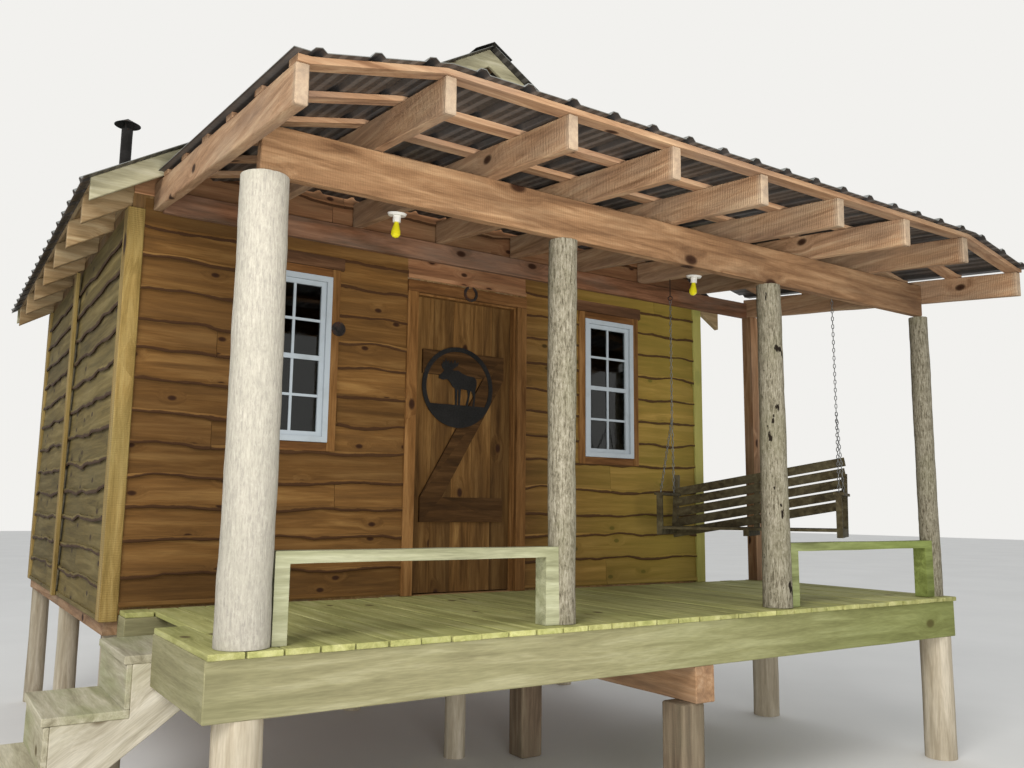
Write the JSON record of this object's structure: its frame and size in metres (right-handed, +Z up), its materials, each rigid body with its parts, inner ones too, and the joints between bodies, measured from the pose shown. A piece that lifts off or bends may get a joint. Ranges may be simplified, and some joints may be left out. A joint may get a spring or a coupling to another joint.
{
  "type": "cabin",
  "caption": "Small gable-roofed cabin on log piers, with a shed-roofed front porch on log posts, side steps, a plank door that opens and a hanging porch swing.",
  "frame": {"origin": "centre of the foot of the pier under the left front porch post, on the ground", "axes": "+Z up, +Y from the porch front towards the back of the cabin, +X to the right seen from the front"},
  "size_m": [6.117, 6.171, 4.8555],
  "materials": {
    "log": "peeled and weathered",
    "bark_log": "bark on, matt",
    "red_timber": "rough-sawn, stained",
    "rough_timber": "rough-sawn",
    "siding": "oiled, matt",
    "trim": "rough-sawn, oiled",
    "grey_board": "rough-sawn, pale grey-green",
    "door_wood": "oiled, matt",
    "black_metal": "matt black",
    "rusty_iron": "rusted",
    "vinyl": "white",
    "glass": "clear",
    "roof_metal": "weathered",
    "dark_metal": "matt",
    "deck_wood": "weathered",
    "beam_wood": "rough-sawn, stained",
    "weathered_timber": "weathered",
    "ledger_wood": "oiled",
    "rail_wood": "rough-sawn",
    "porcelain": "glazed white",
    "bulb_glass": "yellow",
    "swing_wood": "dark stained",
    "steel": "dull"
  },
  "bodies": {
    "cabin": {"back_gable": "siding", "back_wall": "siding", "cabin_floor": "rough_timber", "cabin_piers": "log", "cabin_sills": "rough_timber", "casings": "trim", "door_frame": "trim", "eave_blocks": "rough_timber", "floor_joists": "rough_timber", "frame_hinges": "black_metal", "front_gable": "siding", "front_wall_left": "siding", "front_wall_over_door": "siding", "front_wall_right": "siding", "horseshoe": "rusty_iron", "lamp_bulbs": "bulb_glass", "lamp_holders": "porcelain", "left_wall": "siding", "main_rafters": "rough_timber", "main_roof_left": "roof_metal", "main_roof_right": "roof_metal", "porch_beam": "beam_wood", "porch_deck": "deck_wood", "porch_girder": "red_timber", "porch_joists": "rough_timber", "porch_ledger": "ledger_wood", "porch_piers": "log", "porch_posts": "bark_log", "porch_purlins": "weathered_timber", "porch_rafters": "weathered_timber", "porch_rails": "rail_wood", "porch_rear_post": "red_timber", "porch_rim": "grey_board", "porch_roof": "roof_metal", "rake_boards": "grey_board", "ridge_board": "rough_timber", "ridge_cap": "dark_metal", "right_wall": "siding", "roof_laths": "rough_timber", "step_risers": "deck_wood", "step_stringers": "deck_wood", "step_treads": "deck_wood", "stovepipe": "dark_metal", "stovepipe_flashing": "dark_metal", "swing_hooks": "steel", "wall_trim": "trim", "window_frames": "vinyl", "window_glass": "glass"},
    "door": {"door_leaf": "door_wood", "door_ledges": "door_wood", "door_plaque": "black_metal", "door_hinges": "black_metal"},
    "swing": {"swing_bench": "swing_wood", "swing_chains": "steel"}
  },
  "joints": [
    {"name": "door_hinge", "type": "hinge", "parent": "cabin", "child": "door", "pos_m": [1.579, 1.726, 1.06], "axis": [0, 0, 1], "range_deg": [0, 100]},
    {"name": "swing_hang", "type": "hinge", "parent": "cabin", "child": "swing", "pos_m": [3.8534, 0.76, 3.21], "axis": [0.5243, -0.8515, 0], "range_deg": [-15, 8]}
  ]
}
